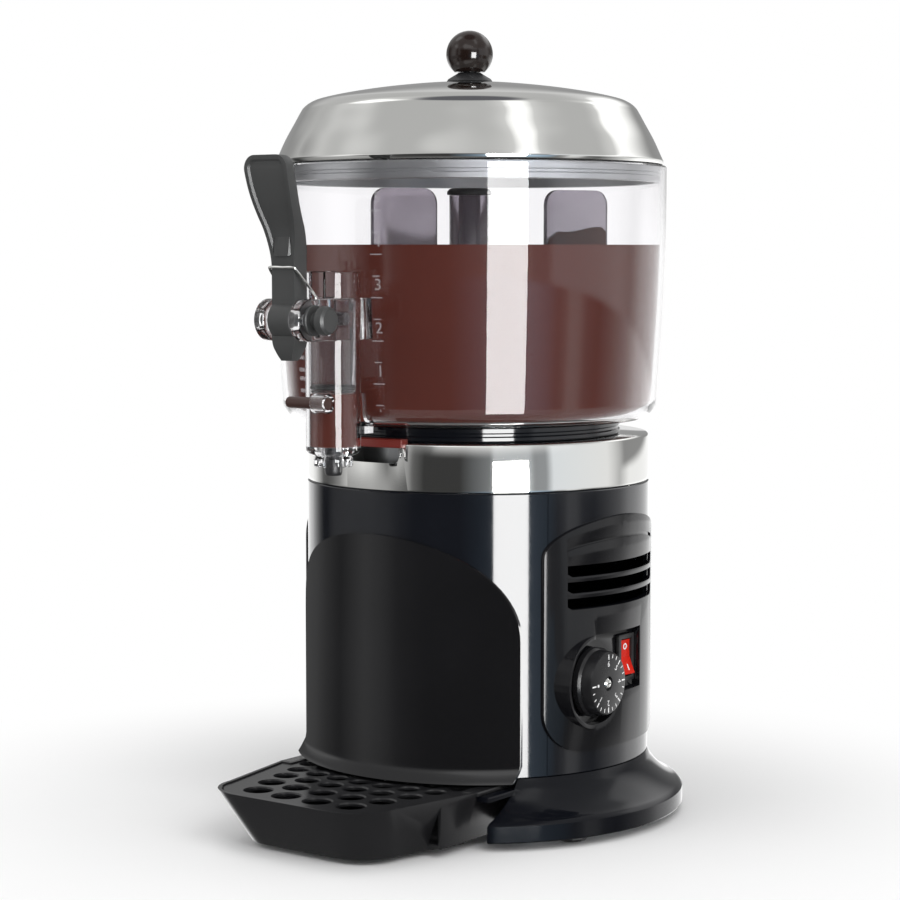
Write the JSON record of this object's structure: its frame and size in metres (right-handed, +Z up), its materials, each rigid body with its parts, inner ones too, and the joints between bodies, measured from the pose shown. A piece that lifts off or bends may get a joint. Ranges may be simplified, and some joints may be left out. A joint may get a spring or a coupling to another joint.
{
  "type": "hot chocolate dispenser",
  "caption": "Heated countertop drink dispenser: clear bowl with stirrer, lever piston tap, polished lid and ring, round black base with dial, switch and drip tray.",
  "frame": {"origin": "on the table, under the middle of the whole machine's box", "axes": "+Z up, -Y to the front with the tap and drip tray, +X to the side with the dial and switch; the base's own axis stands at Y 0.035125 and the bowl's at Y 0.026125"},
  "size_m": [0.248, 0.3182, 0.465],
  "materials": {
    "black_gloss": "high gloss",
    "black_matt": "fine matt",
    "charcoal_plastic": "fine matt",
    "polished_steel": "mirror polished stainless steel",
    "dull_steel": "satin",
    "cast_metal": "as cast",
    "clear_plastic": "clear moulded polycarbonate",
    "smoked_plastic": "satin grey, slightly translucent",
    "red_rubber": "silicone",
    "black_rubber": "matt",
    "red_plastic": "gloss",
    "brown_plastic": "satin",
    "ivory_plastic": "satin"
  },
  "bodies": {
    "base": {"foot_skirt": "black_gloss", "base_plate": "dull_steel", "rubber_foot_1": "black_rubber", "rubber_foot_2": "black_rubber", "rubber_foot_3": "black_rubber", "rubber_foot_4": "black_rubber", "housing_shell": "black_gloss", "front_panel": "black_gloss", "right_side_panel": "black_gloss", "left_side_panel": "black_gloss", "steel_ring": "polished_steel", "thermostat_body": "dull_steel", "switch_body": "black_matt", "terminal_block": "ivory_plastic", "cable_gland": "black_matt", "water_tank": "dull_steel", "heating_element": "cast_metal", "gearbox": "cast_metal", "gear_motor": "cast_metal", "bridge_screw_1": "polished_steel", "bridge_screw_2": "polished_steel", "motor_bridge": "dull_steel"},
    "drive": {"drive_shaft": "dull_steel"},
    "dial": {"thermostat_knob": "black_matt", "knob_shaft": "dull_steel", "knob_screw": "polished_steel"},
    "rocker": {"power_rocker": "red_plastic"},
    "bowl_unit": {"bowl": "clear_plastic", "bowl_seal": "black_rubber", "shaft_seal": "red_rubber", "outlet_crown": "clear_plastic", "outlet_tip": "black_matt", "stop_peg": "brown_plastic", "pivot_pin": "charcoal_plastic"},
    "stirrer_unit": {"stirrer": "smoked_plastic", "column_cap": "black_matt", "outer_wiper": "black_rubber", "inner_wiper": "black_rubber"},
    "lid": {"lid_shell": "polished_steel", "lid_seal": "dull_steel", "knob_washer": "black_matt", "lid_knob": "black_gloss", "knob_stud": "polished_steel"},
    "lever": {"tap_lever": "charcoal_plastic", "lever_wire": "polished_steel"},
    "piston": {"tap_piston": "charcoal_plastic", "piston_o_ring": "black_rubber"},
    "tray": {"drip_tray": "black_gloss", "drip_grid": "black_gloss"}
  },
  "joints": [
    {"name": "drive_spin", "type": "hinge", "parent": "base", "child": "drive", "pos_m": [0, 0.02612, 0.2], "axis": [0, 0, 1], "continuous": true},
    {"name": "thermostat_turn", "type": "hinge", "parent": "base", "child": "dial", "pos_m": [0.104, 0.01013, 0.089], "axis": [1, 0, 0], "range_deg": [0, 270]},
    {"name": "power_rocker_tip", "type": "hinge", "parent": "base", "child": "rocker", "pos_m": [0.0973, 0.04693, 0.098], "axis": [0, 1, 0], "range_deg": [0, 22]},
    {"name": "drip_tray_pull", "type": "slide", "parent": "base", "child": "tray", "axis": [0, -1, 0], "range_m": [0, 0.12]},
    {"name": "bowl_lift", "type": "slide", "parent": "base", "child": "bowl_unit", "axis": [0, 0, 1], "range_m": [0, 0.06]},
    {"name": "lid_lift", "type": "slide", "parent": "bowl_unit", "child": "lid", "axis": [0, 0, 1], "range_m": [0, 0.08]},
    {"name": "stirrer_spin", "type": "hinge", "parent": "bowl_unit", "child": "stirrer_unit", "pos_m": [0, 0.02612, 0.25], "axis": [0, 0, 1], "continuous": true},
    {"name": "tap_lever_pull", "type": "hinge", "parent": "bowl_unit", "child": "lever", "pos_m": [0, -0.13887, 0.298], "axis": [1, 0, 0], "range_deg": [0, 34], "stiffness_Nm_per_rad": 0.6, "springref_deg": -11.46, "deforming": ["lever_wire"]},
    {"name": "piston_lift", "type": "slide", "parent": "bowl_unit", "child": "piston", "axis": [0, 0, 1], "range_m": [0, 0.0213]}
  ],
  "couplings": [
    {"joint": "stirrer_spin", "follows": "drive_spin", "ratio": 1},
    {"joint": "piston_lift", "follows": "tap_lever_pull", "m_per_rad": 0.0356}
  ]
}
